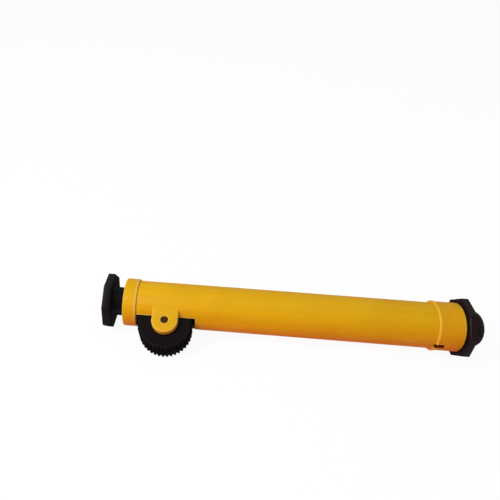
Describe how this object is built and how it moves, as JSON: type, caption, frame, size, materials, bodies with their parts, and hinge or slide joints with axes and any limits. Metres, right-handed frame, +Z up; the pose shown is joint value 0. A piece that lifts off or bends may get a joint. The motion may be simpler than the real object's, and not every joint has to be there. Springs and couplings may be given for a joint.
{
  "type": "pipette controller",
  "caption": "Hand-held pipette controller: a thumbwheel drives a toothed plunger through a yellow tube, with a soft pipette seat in the far end.",
  "frame": {"origin": "centre of the bounding box's underside, on the bench that the tool lies on", "axes": "+X runs along the tube from the plunger head to the pipette end, +Z is up, and the thumbwheel is on the -Y side"},
  "size_m": [0.206, 0.0448, 0.033],
  "materials": {
    "yellow_plastic": "moulded, satin to gloss",
    "black_plastic": "moulded, satin",
    "white_plastic": "moulded, satin",
    "natural_plastic": "moulded, milky",
    "black_rubber": "matte",
    "grey_silicone": "matte",
    "axle_steel": "turned, dark"
  },
  "bodies": {
    "casing": {"body_tube": "yellow_plastic", "end_collar": "yellow_plastic", "chuck_sleeve": "yellow_plastic", "stem_bush": "white_plastic", "rack_guide": "white_plastic", "lower_washer": "white_plastic", "upper_washer": "white_plastic", "barrel_guide": "black_plastic", "barrel_plug": "white_plastic", "barrel": "natural_plastic", "chuck_flange": "black_plastic", "nose_cap": "black_plastic", "wheel_axle": "axle_steel", "plug_ring": "black_rubber", "pipette_seal": "grey_silicone"},
    "wheel": {"thumb_wheel": "black_plastic"},
    "plunger": {"plunger_rack": "black_plastic", "plunger_head": "black_plastic", "piston": "white_plastic", "rear_piston_ring": "black_rubber", "front_piston_ring": "black_rubber"}
  },
  "joints": [
    {"name": "plunger_slide", "type": "slide", "parent": "casing", "child": "plunger", "axis": [-1, 0, -0.0037], "range_m": [0, 0.1]},
    {"name": "wheel_spin", "type": "hinge", "parent": "casing", "child": "wheel", "pos_m": [-0.06822, -0.00613, 0.01226], "axis": [-0.0035, -0.3184, 0.9479], "range_deg": [0, 392.4]}
  ],
  "couplings": [
    {"joint": "wheel_spin", "follows": "plunger_slide", "rad_per_m": 68.493}
  ]
}
